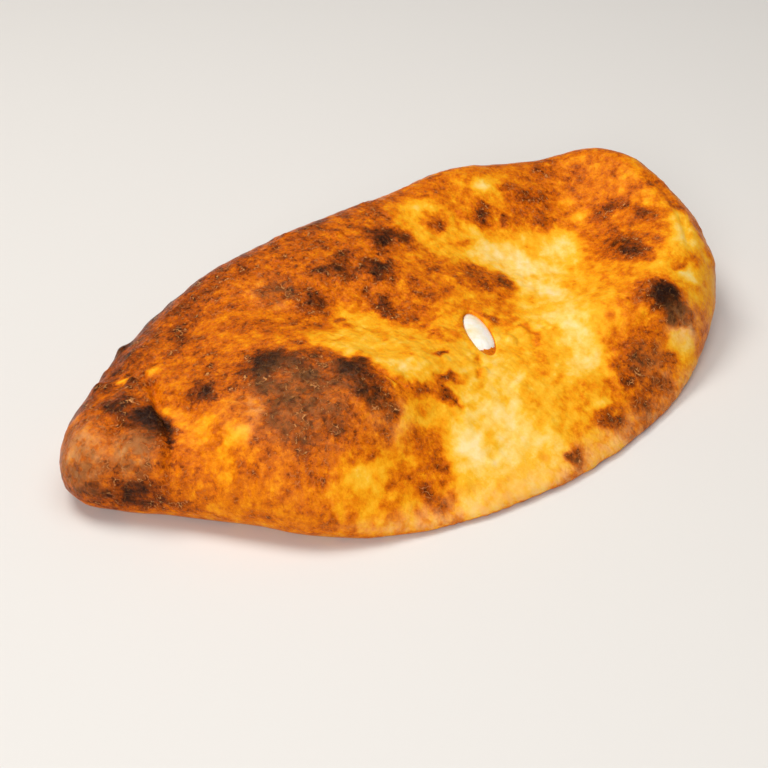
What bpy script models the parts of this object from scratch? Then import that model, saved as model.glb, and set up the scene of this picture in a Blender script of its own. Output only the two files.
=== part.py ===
"""Folded, baked calzone: a hollow dough crust with one open steam vent, and the soft
cheese filling inside it. Origin under the middle of the bounding box, +X towards the
broad end, -Y towards the sealed front edge, +Z up."""

import math

import bmesh
import bpy

# driving sizes, metres
mm = 0.001
planCentre = (4.0 * mm, -2.0 * mm)       # where the plan radii are measured from
# plan outline, named points (x, y) in millimetres, counter-clockwise from the nose
outlinePoints = (
    ("nose tip", -140.0, 17.0), ("nose front", -136.0, 3.0), ("nose root", -124.0, -10.0),
    ("front start", -108.0, -31.0), ("front quarter", -91.0, -52.0),
    ("front swell", -61.0, -68.5), ("front middle", -28.0, -76.0),
    ("front deepest", -6.0, -77.5), ("front far", 27.0, -74.5),
    ("front turn", 57.0, -67.0), ("broad end front", 86.0, -54.0),
    ("broad end corner", 109.0, -38.5), ("broad end", 127.0, -17.0),
    ("broad end middle", 137.0, 8.0), ("broad end back", 140.0, 31.0),
    ("back corner", 132.0, 49.0), ("back turn", 114.0, 60.5), ("fold far", 90.0, 69.5),
    ("fold far middle", 62.0, 75.5), ("fold middle", 26.0, 77.5), ("fold near", -12.0, 77.0),
    ("fold narrowing", -46.0, 73.0), ("fold dip", -73.0, 65.0), ("fold knob", -97.0, 55.0),
    ("nose back", -117.0, 42.5), ("nose shoulder", -133.0, 30.0),
)
bodyHeight = 36.0 * mm                   # top of the filled body before its own swells
foldEquator = 16.0 * mm                  # height of the widest line on the fold side
frontEquator = 2.6 * mm                  # the same on the thin sealed edge
foldShoulder = 25.0 * mm                 # how far in the rounded side runs, fold side
frontShoulder = 66.0 * mm                # the same, front side
foldUnderRoll = 13.0 * mm                # rounding under the fold edge
frontUnderRoll = 3.5 * mm
# swells and hollows of the top: name, x, y, half-width along, half-width across,
# turn (degrees), height change (all but the turn in millimetres)
topSwells = (
    ("fold ridge", 24.0, 52.0, 66.0, 16.0, 0.0, 8.5),
    ("back corner swell", 122.0, 24.0, 13.0, 24.0, 0.0, 13.5),
    ("fold far swell", 68.0, 60.0, 20.0, 14.0, 0.0, 4.5),
    ("broad end swell", 104.0, -18.0, 22.0, 18.0, 0.0, 5.0),
    ("back dome", -28.0, 30.0, 34.0, 26.0, 10.0, 4.0),
    ("front dome", -60.0, -10.0, 32.0, 18.0, -30.0, 4.0),
    ("cross ridge", 14.0, 12.0, 30.0, 13.0, -28.0, 3.0),
    ("main hollow", 56.0, -4.0, 42.0, 24.0, 24.0, -12.0),
    ("front hollow", 2.0, -46.0, 34.0, 18.0, 20.0, -3.0),
    ("small valley", -22.0, -4.0, 24.0, 12.0, -40.0, -3.0),
    ("fold step", -80.0, 40.0, 18.0, 16.0, -30.0, -2.0),
)
noseHeight = 24.0 * mm                   # top of the tucked corner
noseRoot = -104.0 * mm                   # x where the body drops to the tucked corner
noseLobes = (
    ("outer lobe", -131.0, 14.0, 9.0, 16.0, 0.0, 3.5),
    ("inner lobe", -112.0, 16.0, 8.0, 18.0, 0.0, 5.0),
)
wall = 4.6 * mm                          # dough thickness over the filling
sealWidth = 15.0 * mm                    # solid dough along the sealed front edge
fillGap = 0.45 * mm                      # clearance between crust and filling
ventCentre = (6.6 * mm, -19.7 * mm)
ventHalfLength = 11.0 * mm
ventHalfWidth = 4.2 * mm
ventTurn = math.radians(66.0)            # vent's long axis measured from +X
plugGap = 0.6 * mm                       # clearance round the cheese that stands in the vent
plugBelow = 1.8 * mm                     # cheese surface under the crust's top at the vent
crustDivisions = 24                      # mesh squares along one side of the ball's cube
cavityDivisions = 12


def blend(edge0, edge1, value):
    t = min(max((value - edge0) / (edge1 - edge0), 0.0), 1.0)
    return t * t * (3.0 - 2.0 * t)


def swell(x, y, rows):
    """Sum of soft elliptical bumps."""
    total = 0.0
    for _, bx, by, along, across, turn, rise in rows:
        c, s = math.cos(math.radians(turn)), math.sin(math.radians(turn))
        dx, dy = x - bx * mm, y - by * mm
        u, v = (dx * c + dy * s) / (along * mm), (-dx * s + dy * c) / (across * mm)
        total += rise * mm * math.exp(-0.5 * (u * u + v * v))
    return total


def outlineTable():
    rows = []
    for _, x, y in outlinePoints:
        dx, dy = x * mm - planCentre[0], y * mm - planCentre[1]
        rows.append((math.atan2(dy, dx) % math.tau, math.hypot(dx, dy)))
    return sorted(rows)


polarRows = outlineTable()


def planRadius(angle):
    """Radius of the outline at an angle: a closed smooth curve through the named points."""
    angle %= math.tau
    n = len(polarRows)
    k = next((i for i, row in enumerate(polarRows) if row[0] > angle), 0)
    pts = []
    for j in range(-2, 2):
        a, r = polarRows[(k + j) % n]
        pts.append(((a - angle + math.pi) % math.tau - math.pi, r))
    (a0, r0), (a1, r1), (a2, r2), (a3, r3) = pts
    span = a2 - a1
    m1 = (r2 - r0) / (a2 - a0) * span
    m2 = (r3 - r1) / (a3 - a1) * span
    t = -a1 / span
    return ((2 * t**3 - 3 * t**2 + 1) * r1 + (t**3 - 2 * t**2 + t) * m1
            + (3 * t**2 - 2 * t**3) * r2 + (t**3 - t**2) * m2)


def frontShare(angle):
    """1 along the thin sealed front edge, 0 round the fold and both ends."""
    d = math.degrees(angle) % 360.0
    return blend(190.0, 232.0, d) * (1.0 - blend(304.0, 350.0, d))


def noseShare(x):
    return 1.0 - blend(noseRoot - 7.0 * mm, noseRoot + 9.0 * mm, x)


def mix(a, b, t):
    return a + (b - a) * t


def equatorHeight(x, angle):
    return mix(mix(foldEquator, frontEquator, frontShare(angle)), 10.0 * mm,
               noseShare(x) * (1.0 - frontShare(angle)))


def crownHeight(x, y):
    body = bodyHeight + swell(x, y, topSwells)
    nose = noseHeight + swell(x, y, noseLobes)
    body *= mix(0.88, 1.0, blend(-104.0 * mm, -60.0 * mm, x))
    return mix(body, nose, noseShare(x))


def topHeight(x, y, angle, inFromEdge):
    front = frontShare(angle)
    low = equatorHeight(x, angle)
    shoulder = mix(mix(foldShoulder, 15.0 * mm, noseShare(x)), frontShoulder, front)
    u = min(inFromEdge / shoulder, 1.0)
    roundSide = math.sqrt(max(1.0 - (1.0 - u) ** 2, 0.0))
    slopeSide = 1.0 - (1.0 - u) ** 1.75
    return low + (crownHeight(x, y) - low) * mix(roundSide, slopeSide, front)


def topAt(x, y):
    """Height of the crust's top over a plan position."""
    dx, dy = x - planCentre[0], y - planCentre[1]
    angle = math.atan2(dy, dx)
    return topHeight(x, y, angle, planRadius(angle) - math.hypot(dx, dy))


def underHeight(x, angle, inFromEdge):
    roll = mix(foldUnderRoll, frontUnderRoll, frontShare(angle))
    u = min(inFromEdge / roll, 1.0)
    return equatorHeight(x, angle) * (1.0 - math.sqrt(max(1.0 - (1.0 - u) ** 2, 0.0)))


def ballMesh(divisions):
    """A unit ball of even quads: a divided cube pushed out to radius one."""
    bm = bmesh.new()
    bmesh.ops.create_cube(bm, size=2.0)
    bmesh.ops.subdivide_edges(bm, edges=bm.edges[:], cuts=divisions - 1, use_grid_fill=True)
    for v in bm.verts:
        v.co = [math.tan(c * math.pi / 4) for c in v.co]
        v.co.normalize()
    return bm


def layPlan(direction, inset):
    """Plan position of a ball direction, with the outline drawn in by inset(angle)."""
    flat = math.hypot(direction.x, direction.y)
    angle = math.atan2(direction.y, direction.x)
    radius = planRadius(angle)
    reach = (radius - inset(angle)) * min(flat, 1.0)
    x = planCentre[0] + reach * math.cos(angle)
    y = planCentre[1] + reach * math.sin(angle)
    return x, y, angle, radius - reach


def shapeCrust(bm):
    for v in bm.verts:
        x, y, angle, inner = layPlan(v.co, lambda a: 0.0)
        high = v.co.z > 1e-4
        low = v.co.z < -1e-4
        z = equatorHeight(x, angle)
        if high:
            z = topHeight(x, y, angle, inner)
        elif low:
            z = underHeight(x, angle, inner)
        v.co = (x, y, z)


def shapeInside(bm, backFromSeal):
    """The hollow inside the crust, its front edge held back from the seal."""
    def inset(angle):
        return mix(wall + 1.5 * mm, sealWidth + backFromSeal, frontShare(angle))

    for v in bm.verts:
        x, y, angle, inner = layPlan(v.co, inset)
        drop = wall * mix(1.25, 1.0, blend(8.0 * mm, 30.0 * mm, inner))
        top = max(topHeight(x, y, angle, inner) - drop, wall + 3.2 * mm)
        middle = mix(wall, top, 0.35)
        roll = blend(0.0, 14.0 * mm, inner - inset(angle))
        z = middle
        if v.co.z > 1e-4:
            z = mix(middle, top, math.sqrt(roll))
        elif v.co.z < -1e-4:
            z = mix(middle, wall, math.sqrt(roll))
        v.co = (x, y, z)


def insideMesh(gap):
    """The hollow's form; with a gap, the same form drawn in evenly for the filling."""
    bm = ballMesh(cavityDivisions)
    bmesh.ops.triangulate(bm, faces=bm.faces[:], quad_method="FIXED")
    shapeInside(bm, 4.0 * gap)
    bm.normal_update()
    steps = [v.normal * gap * min(v.calc_shell_factor(), 2.5) for v in bm.verts]
    for v, step in zip(bm.verts, steps):
        v.co -= step
    return bm


def makeObject(name, bm, collection):
    mesh = bpy.data.meshes.new(name)
    bmesh.ops.recalc_face_normals(bm, faces=bm.faces[:])
    bm.to_mesh(mesh)
    bm.free()
    ob = bpy.data.objects.new(name, mesh)
    collection.objects.link(ob)
    return ob


def ventBar(name, collection, gap, down, up):
    """An upright bar of oval section in the vent, its ends sloped like the crust's top."""
    cx, cy = ventCentre
    c, s = math.cos(ventTurn), math.sin(ventTurn)
    middle = topAt(cx, cy)
    slope = (topAt(cx + ventHalfLength * c, cy + ventHalfLength * s) - middle) / ventHalfLength
    bm = bmesh.new()
    bmesh.ops.create_cone(bm, cap_ends=True, segments=28, radius1=1.0, radius2=1.0, depth=1.0)
    for v in bm.verts:
        u = v.co.x * (ventHalfLength - gap)
        w = v.co.y * (ventHalfWidth - gap)
        z = middle + slope * u + (up if v.co.z > 0 else -down)
        v.co = (cx + u * c - w * s, cy + u * s + w * c, z)
    return makeObject(name, bm, collection)


def boolean(ob, other, operation, label):
    mod = ob.modifiers.new(label, "BOOLEAN")
    mod.operation = operation
    mod.solver = "EXACT"
    mod.object = other
    return mod


def material(name, colour, roughness):
    mat = bpy.data.materials.new(name)
    mat.use_nodes = True
    shader = mat.node_tree.nodes["Principled BSDF"]
    shader.inputs["Base Color"].default_value = colour
    shader.inputs["Roughness"].default_value = roughness
    return mat


for old in list(bpy.data.objects):
    bpy.data.objects.remove(old, do_unlink=True)
calzone = bpy.data.collections.new("calzone")
cutters = bpy.data.collections.new("cutters")
for group in (calzone, cutters):
    bpy.context.scene.collection.children.link(group)

# the crust: outer form with a flat underside
ball = ballMesh(crustDivisions)
shapeCrust(ball)
under = [f for f in ball.faces if all(abs(v.co.z) < 1e-7 for v in f.verts)]
bmesh.ops.dissolve_faces(ball, faces=under, use_verts=True)
crust = makeObject("crust", ball, calzone)

# the hollow it is baked round
hollow = makeObject("hollow", insideMesh(0.0), cutters)
ventCut = ventBar("ventCut", cutters, 0.0, 2.0 * wall, 2.0 * wall)
boolean(crust, hollow, "DIFFERENCE", "hollow")
boolean(crust, ventCut, "DIFFERENCE", "steam vent")

# the filling, standing up a little into the vent
filling = makeObject("cheese_filling", insideMesh(fillGap), calzone)
plug = ventBar("plug", cutters, plugGap, 2.5 * wall, -plugBelow)
boolean(filling, plug, "UNION", "cheese in the vent")

for cutter in (hollow, ventCut, plug):
    cutter.hide_render = True
    cutter.display_type = "WIRE"

crust.data.materials.append(material("baked dough", (0.62, 0.29, 0.06, 1.0), 0.55))
filling.data.materials.append(material("melted cheese", (0.92, 0.86, 0.72, 1.0), 0.35))
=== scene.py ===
import math
import random

import bmesh
import bpy
import numpy as np
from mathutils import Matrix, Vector, noise
from mathutils.bvhtree import BVHTree
from mathutils.kdtree import KDTree


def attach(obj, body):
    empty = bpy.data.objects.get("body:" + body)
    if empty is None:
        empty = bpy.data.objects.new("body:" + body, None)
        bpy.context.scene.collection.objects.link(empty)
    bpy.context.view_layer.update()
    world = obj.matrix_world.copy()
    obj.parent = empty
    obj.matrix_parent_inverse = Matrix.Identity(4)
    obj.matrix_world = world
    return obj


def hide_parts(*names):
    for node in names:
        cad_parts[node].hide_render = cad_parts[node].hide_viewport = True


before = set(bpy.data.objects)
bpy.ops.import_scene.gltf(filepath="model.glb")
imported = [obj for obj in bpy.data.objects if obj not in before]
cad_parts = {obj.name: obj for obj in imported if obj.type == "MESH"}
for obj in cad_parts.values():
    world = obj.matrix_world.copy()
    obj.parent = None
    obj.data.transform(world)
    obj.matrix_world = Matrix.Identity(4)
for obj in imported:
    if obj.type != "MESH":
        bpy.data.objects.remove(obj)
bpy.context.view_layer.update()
mm = 0.001
rayStart = 0.4            # a distance that is outside the part on every side (m)
sideRay = 0.12            # one that is outside the rounded side, from inside it (m)
sideTop = 12 * mm         # the rounded side ends at about this height


def linearColour(hexCode):
    # sRGB hex to the linear values that a shader takes
    parts = [int(hexCode[i:i + 2], 16) / 255 for i in (0, 2, 4)]
    return [c / 12.92 if c < 0.04045 else ((c + 0.055) / 1.055) ** 2.4 for c in parts] + [1.0]


def addNode(tree, kind, settings=None, links=None, values=None):
    # one node with its settings, socket values and incoming links
    node = tree.nodes.new(kind)
    for key, value in (settings or {}).items():
        setattr(node, key, value)
    for key, value in (values or {}).items():
        node.inputs[key].default_value = value
    for key, socket in (links or {}).items():
        tree.links.new(socket, node.inputs[key])
    return node


def smoothStep(low, high, value):
    t = np.clip((value - low) / (high - low), 0.0, 1.0)
    return t * t * (3.0 - 2.0 * t)


def noiseField(points, size, seed, depth=1):
    # smooth noise from about -1 to 1, with features of a real size in metres
    shift = Vector((seed * 7.31, seed * 3.17, seed * 5.93))
    return np.array([noise.fractal(Vector(p) / size + shift, 1.0, 2.0, depth) for p in points])


def ellipseDistance(x, y, spot):
    # 1 on the rim of a turned ellipse given in millimetres
    cx, cy, along, across, turn = spot
    c, s = math.cos(math.radians(turn)), math.sin(math.radians(turn))
    dx, dy = x - cx, y - cy
    return np.hypot((dx * c + dy * s) / along, (-dx * s + dy * c) / across)


def ballDistance(x, y, z, spot):
    # squared distance from the middle of a ball given in millimetres, 1 on its surface
    cx, cy, cz, size = spot
    return ((x - cx) ** 2 + (y - cy) ** 2 + (z - cz) ** 2) / size ** 2


def fadeEnds(share):
    # 0 at both ends of a line, 1 along its middle
    return smoothStep(0.0, 0.15, share) * (1.0 - smoothStep(0.85, 1.0, share))


def pathDistance(x, y, path):
    # signed distance in millimetres to a line of points, positive on its left, and how far
    # along the line the nearest place is, from 0 to 1
    best = np.full(len(x), 1e9)
    signed = np.zeros(len(x))
    share = np.zeros(len(x))
    for k, ((ax, ay), (bx, by)) in enumerate(zip(path, path[1:])):
        ux, uy = bx - ax, by - ay
        t = np.clip(((x - ax) * ux + (y - ay) * uy) / (ux * ux + uy * uy), 0.0, 1.0)
        d = np.hypot(x - ax - t * ux, y - ay - t * uy)
        side = np.sign(ux * (y - ay) - uy * (x - ax))
        near = d < best
        best[near] = d[near]
        signed[near] = (d * side)[near]
        share[near] = (k + t)[near]
    return signed, share / (len(path) - 1)


crustSettings = {
    "divisions": 118,         # quads along one side of the starting cube
    "topShare": 0.55,         # part of the ball that covers the top inside the shoulder
    "sideShare": 0.27,        # part that goes round the edge
    "shoulder": 22.0,         # mm in from the outline where the edge begins
    "centre": (4.0, -2.0),    # middle of the plan (mm)
    "headings": 720,          # outline points
    "outlineHeights": (2.2, 2.7, 4.0, 7.0, 10.0, 13.0, 16.0),   # mm, the widest one counts
    "ventMargin": 1.12,       # the top is carried over the vent to here, 1 at its rim
    "fineZone": (12.8, 6.8),  # half-sizes of the finer faces round the vent (mm)
    "calm": (2.0, 1.2, 0.9),  # relief fades near the vent: from this reach to this, by this share
    "lip": (2.0, 1.2, 0.2),   # soft lip: distance from the rim, width and height (mm)
    "rimDrop": (1.25, 1.05, 0.5),   # the rim is lower: from this reach to this, by this much (mm)
    "smoothing": 26,          # passes that take out the frame's facets
    "blisters": 340,
    "seed": 11,
}

# the open vent: x, y, half-length, half-width (mm), turn (degrees)
ventSpot = (6.6, -19.7, 11.0, 4.2, 66.0)


def copyMesh(node):
    bm = bmesh.new()
    bm.from_mesh(node.data)
    bmesh.ops.remove_doubles(bm, verts=bm.verts, dist=1e-6)
    return bm


def meshArrays(bm):
    # places and normals of all points
    bm.normal_update()
    points = np.array([v.co[:] for v in bm.verts])
    normals = np.array([v.normal[:] for v in bm.verts])
    return points, normals


crustCopy = copyMesh(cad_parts["crust"])
crustTree = BVHTree.FromBMesh(crustCopy)
crustCopy.free()


def topHeight(x, y):
    # height of the crust's top in metres
    hit = crustTree.ray_cast(Vector((x, y, rayStart)), Vector((0, 0, -1)))[0]
    return hit.z if hit else 0.0


def buildCrustBall(s):
    # a closed skin in the crust's outer form, with no vent yet
    centre = Vector((s["centre"][0] * mm, s["centre"][1] * mm, 0.0))

    # outline radius at each heading, from rays at several heights
    steps = s["headings"]
    radii = []
    for k in range(steps):
        a = math.tau * k / steps
        out = Vector((math.cos(a), math.sin(a), 0.0))
        reach = 0.0
        for height in s["outlineHeights"]:
            start = centre + out * rayStart + Vector((0, 0, height * mm))
            hit = crustTree.ray_cast(start, -out)[0]
            if hit:
                reach = max(reach, (hit - centre).xy.length)
        radii.append(reach)
    radii = np.array(radii)
    for _ in range(3):
        radii = (np.roll(radii, 1) + radii * 2 + np.roll(radii, -1)) / 4

    def outlineRadius(a):
        t = (a % math.tau) / math.tau * steps
        k = int(t) % steps
        return radii[k] + (radii[(k + 1) % steps] - radii[k]) * (t - int(t))

    def heightAt(x, y):
        # height of the top, carried across the vent from its two long sides
        cx, cy, along, across, turn = ventSpot
        cosine, sine = math.cos(math.radians(turn)), math.sin(math.radians(turn))
        dx, dy = x / mm - cx, y / mm - cy
        u, v = dx * cosine + dy * sine, -dx * sine + dy * cosine
        edge = s["ventMargin"]
        if math.hypot(u / along, v / across) < edge:
            half = across * math.sqrt(max(edge ** 2 - (u / along) ** 2, 0.0))
            sides = []
            for w in (-half, half):
                px = (cx + u * cosine - w * sine) * mm
                py = (cy + u * sine + w * cosine) * mm
                sides.append(topHeight(px, py))
            t = (v + half) / (2 * half)
            return sides[0] + (sides[1] - sides[0]) * t
        return topHeight(x, y)

    bm = bmesh.new()
    bmesh.ops.create_cube(bm, size=2.0)
    bmesh.ops.subdivide_edges(bm, edges=bm.edges[:], cuts=s["divisions"] - 1, use_grid_fill=True)
    topShare, sideShare = s["topShare"], s["sideShare"]
    for v in bm.verts:
        d = Vector([math.tan(c * math.pi / 4) for c in v.co]).normalized()
        heading = math.atan2(d.y, d.x)
        q = math.acos(max(-1.0, min(1.0, d.z))) / math.pi
        out = Vector((math.cos(heading), math.sin(heading), 0.0))
        radius = outlineRadius(heading)
        inner = radius - s["shoulder"] * mm
        if q <= topShare:
            x, y = (centre + out * inner * (q / topShare)).xy
            v.co = (x, y, heightAt(x, y))
        elif q < topShare + sideShare:
            # the edge is thin along the front, so the middle of its curve is lower there
            focus = centre + out * inner
            focus.z = 2.5 * mm + 7.0 * mm * smoothStep(-70.0, -30.0, focus.y / mm)
            turn = math.pi * (0.5 - (q - topShare) / sideShare)
            ray = out * math.cos(turn) + Vector((0, 0, math.sin(turn)))
            hit = crustTree.ray_cast(focus + ray * sideRay, -ray)[0]
            v.co = hit if hit else focus
        else:
            share = (1.0 - q) / (1.0 - topShare - sideShare)
            v.co = centre + out * inner * share
    bmesh.ops.recalc_face_normals(bm, faces=bm.faces[:])
    # finer faces round the vent
    zone = ventSpot[:2] + s["fineZone"] + ventSpot[4:]
    near = []
    for e in bm.edges:
        p = (e.verts[0].co + e.verts[1].co) / 2
        if p.z >= sideTop and ellipseDistance(p.x / mm, p.y / mm, zone) < 1.0:
            near.append(e)
    bmesh.ops.subdivide_edges(bm, edges=near, cuts=2, use_grid_fill=True)
    return bm


def smoothPoints(bm, passes):
    # pairs of a smoothing and a swelling pass, which leave the thin front edge its size
    verts = bm.verts[:]
    for _ in range(passes):
        for factor in (0.5, -0.52):
            bmesh.ops.smooth_vert(bm, verts=verts, factor=factor, use_axis_x=True,
                                  use_axis_y=True, use_axis_z=True)


crustBall = buildCrustBall(crustSettings)
print("crust grid", len(crustBall.verts), "points")
smoothPoints(crustBall, crustSettings["smoothing"])
for v in crustBall.verts:
    v.co.z = max(v.co.z, 0.0)
print("crust smoothed")

# raised and sunk marks of the baked top: x, y, half-sizes (mm), turn (degrees), height (mm)
reliefBlobs = (
    (-101, 25, 3.0, 6.0, 15, 1.4),       # pale bump beside the tucked corner
    (-112, 2, 5.0, 9.0, 10, 0.9),        # charred shoulder of the tucked corner
    (-117, 17, 7.0, 6.0, 0, 0.8),
    (-132, 8, 7.0, 9.0, 0, 0.9),
    (-96, 2, 6.0, 6.0, 0, 0.8),
    (-74, -4, 8.0, 6.0, 0, 1.0),
    (-52, -26, 8.0, 6.0, -40, 1.6),      # crest of the front swell
    (-64, -10, 6.0, 5.0, 0, 0.7),
    (-80, -30, 12.0, 8.0, 20, 0.7),
    (-39, 20, 7.0, 6.0, 0, 0.9),
    (-21, 29, 9.0, 6.0, 0, 0.9),
    (6, 33, 9.0, 7.0, -20, 1.0),
    (-7, 18, 8.0, 5.0, 0, 1.0),
    (-15, 6, 6.0, 4.0, 40, 0.6),
    (30, 3, 10.0, 6.0, 0, 0.8),
    (34, 37, 6.0, 3.0, 0, 0.6),
    (55, 36, 6.0, 4.0, 20, 0.7),
    (63, 29, 4.0, 2.5, 10, 0.6),
    (83, 36, 12.0, 5.0, 0, 0.6),
    (78, 24, 4.0, 2.5, 0, 0.6),
    (98, 12, 6.0, 7.0, -30, 0.8),
    (104, -3, 4.0, 7.0, 0, 0.8),
    (87, -11, 5.0, 6.0, 0, 1.0),
    (77, -44, 10.0, 8.0, -10, 1.3),      # the large char
    (45, -58, 14.0, 8.0, 25, 0.9),
    (57, -52, 8.0, 4.0, 0, 0.6),
    (25, -67, 8.0, 4.0, 15, 0.6),
    (4, -73, 5.0, 3.0, 0, 0.5),
    (-29, -43, 6.0, 4.0, -50, 0.9),
    (-23, -37, 6.0, 3.0, 0, 0.6),
    (-51, -63, 6.0, 4.0, 0, 0.5),
    (-38, -17, 9.0, 5.0, -40, -0.9),     # pale dip behind the front swell
    (-37, -32, 7.0, 4.0, 0, -0.8),
    (50, 12, 12.0, 8.0, 30, -0.8),
    (42, -36, 9.0, 6.0, 0, -0.7),
    (93, -38, 6.0, 3.0, -30, -0.6),
)
# round swellings on the steep sides too: x, y, z, half-size (mm), height (mm)
reliefLumps = (
    (-135, 10, 16, 13.0, 1.3),           # end of the tucked corner
    (-124, -3, 23, 8.5, 2.4),            # its second lobe
    (-117, 14, 28, 7.0, 1.0),
    (-95, 51, 26, 3.5, 1.6),             # knobs on the folded back
    (-114, 35, 26, 3.5, 1.4),
    (-106, 44, 24, 4.0, 1.0),
    (-78, 57, 27, 5.0, 0.8),
    (118, -20, 30, 6.0, -1.0),           # dent at the broad end
    (112, -31, 26, 5.0, 1.0),
)
# grooves: points (mm), depth, half-width, and a lift on one side (mm, minus for the right)
reliefLines = (
    (((-107, 33), (-103, 29), (-102, 22), (-105, 14), (-108, 7), (-109.5, 1), (-112, -5),
      (-117, -13), (-121, -20)), 1.6, 1.3, -2.6),
    (((-119, 14), (-124, 8), (-128.5, 2), (-131, -5), (-131, -12)), 1.9, 2.2, 0.0),
    (((-121, 5), (-123, 1), (-123, -4)), 0.5, 0.9, 0.0),
    (((-118, 3), (-119.5, -1), (-119, -6)), 0.5, 0.9, 0.0),
    (((-128, 6), (-127, 2), (-128, -2)), 0.4, 0.8, 0.0),
    (((-48, -28), (-45, -34), (-41, -39)), 1.3, 0.9, 0.0),
    (((118, 14), (119, 2), (114, -12), (106, -24), (99, -32)), 1.0, 1.6, 0.0),
    (((-29, -36), (-23, -35), (-19, -38)), 0.6, 0.8, 0.0),
    (((-31, -41), (-26, -44), (-25, -49)), 0.6, 0.8, 0.0),
    (((-36, -40), (-30, -46), (-29, -51)), 0.4, 0.8, 0.0),
    (((-24, -27), (-17, -25), (-13, -27)), 0.5, 0.8, 0.0),
    (((-12, -40), (-6, -35), (-2, -29)), 0.5, 0.9, 0.0),
    (((-20, -8), (-8, -3), (3, 4)), 0.5, 1.0, 0.0),
    (((-28, 4), (-20, 12), (-14, 15)), 0.5, 1.0, 0.0),
    (((20, -34), (24, -28), (25, -21)), 0.4, 0.9, 0.0),
    (((28, -36), (31, -27), (30, -18)), 0.4, 0.9, 0.0),
    (((-70, 44), (-60, 36), (-52, 33)), 0.4, 1.2, 0.0),
    (((88, -31), (94, -35), (100, -34)), 0.5, 1.0, 0.0),
)
# waves of the whole surface: size (mm), height (mm), seed, layers of noise
reliefWaves = ((30.0, 0.75, 1, 1), (12.0, 0.45, 2, 1), (5.0, 0.26, 3, 2), (2.6, 0.13, 4, 1))


def crustRelief(points, normals):
    # height in mm along the normal at each point
    x, y, z = (points / mm).T
    upper = smoothStep(-0.2, 0.4, normals[:, 2])
    side = smoothStep(-0.9, -0.6, normals[:, 2])
    rise = np.zeros(len(x))
    for size, height, seed, depth in reliefWaves:
        rise += noiseField(points, size * mm, seed, depth) * height * side
    marks = np.zeros(len(x))
    for *spot, height in reliefBlobs:
        marks += height * np.exp(-1.2 * ellipseDistance(x, y, spot) ** 2)
    for path, depth, width, lift in reliefLines:
        d, along = pathDistance(x, y, path)
        ends = fadeEnds(along)
        marks -= depth * ends * np.exp(-(d / width) ** 2)
        if lift:
            inside = d * np.sign(lift)
            marks += abs(lift) * ends * smoothStep(0.2, 2.6, inside) * np.exp(-np.abs(d) / 7.0)
    rise += marks * upper
    for *spot, height in reliefLumps:
        rise += height * np.exp(-1.3 * ballDistance(x, y, z, spot)) * side
    return rise


def addBlisters(points, normals, rise, s):
    # small domes where the dough bubbled
    rng = random.Random(s["seed"])
    tree = KDTree(len(points))
    for k, p in enumerate(points):
        tree.insert(p, k)
    tree.balance()
    tops = [k for k in range(len(points)) if normals[k, 2] > 0.1]
    for _ in range(s["blisters"]):
        k = rng.choice(tops)
        size = rng.choice((1.3, 1.6, 2.0, 2.6, 3.4)) * rng.uniform(0.8, 1.2)
        height = size * rng.uniform(0.10, 0.20)
        spin, thin = rng.uniform(0, math.tau), rng.uniform(0.6, 1.0)
        for co, index, _ in tree.find_range(points[k], size * 1.9 * mm):
            off = (co - Vector(points[k])) / mm
            u = off.x * math.cos(spin) + off.y * math.sin(spin)
            v = (-off.x * math.sin(spin) + off.y * math.cos(spin)) / thin
            q = math.hypot(u, v) / size
            if q < 1.6:
                rise[index] += height * math.exp(-2.2 * q ** 4)


def shapeVent(points, rise, s):
    # calm dough with a soft lip round the place where the vent is cut later
    q = ellipseDistance(points[:, 0] / mm, points[:, 1] / mm, ventSpot)
    outside = (q - 1.0) * ventSpot[3]
    top = points[:, 2] > sideTop
    low, high, share = s["calm"]
    rise *= 1.0 - share * smoothStep(low, high, q) * top
    away, width, height = s["lip"]
    rise += height * np.exp(-((outside - away) / width) ** 2) * top
    low, high, drop = s["rimDrop"]
    points[:, 2] -= drop * mm * smoothStep(low, high, q) * top


def bakeCrust(bm, s):
    points, normals = meshArrays(bm)
    flat = points[:, 2] < 0.2 * mm
    rise = crustRelief(points, normals)
    addBlisters(points, normals, rise, s)
    rise[flat & (normals[:, 2] < -0.8)] = 0.0
    shapeVent(points, rise, s)
    points += normals * (rise * mm)[:, None]
    points[:, 2] = np.maximum(points[:, 2], 0.0)
    for v, p in zip(bm.verts, points):
        v.co = p


bakeCrust(crustBall, crustSettings)
print("crust relief done")

cheeseSettings = {
    "lidDepth": 5.0,          # the filling's top in the vent is less than this down (mm)
    "plugDepth": 6.0,         # and the plug's side is widened this far down (mm)
    "reach": (1.07, 0.97, 0.8, 0.6, 0.4, 0.2),   # rings of the cheese in the vent, 1 at its rim
    "hole": 1.14,             # the hole in the crust, likewise
    "below": 0.8,             # its rim under the crust's top (mm)
    "tilt": 0.5,              # how much higher it stands at the vent's front end (mm)
    "rise": 1.0,              # its middle over its rim (mm)
    "film": -8.0,             # a torn film of crust covers the vent's front end from here (mm)
    "filmEdge": 0.6,          # the cut fades in over this much (mm)
    "filmSlope": 1.5,         # and the cheese comes up from under the film over this much (mm)
    "filmGap": 0.9,           # how much lower it stays under the film (mm)
    "cavityGap": 0.25,        # room between cheese and crust (mm)
    "cutHeight": 5.0,         # the cutter's lid is raised this much, through the crust's top (mm)
    "weld": 0.005,            # points closer than this become one after the cut (mm)
    "touch": 0.02,            # a point this near the cutter is on the cavity's wall (mm)
    "planeRays": 24,          # places where the height of the crust's top is measured
    "planeReach": 1.25,       # how far out they are, outside the hole
}


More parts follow.
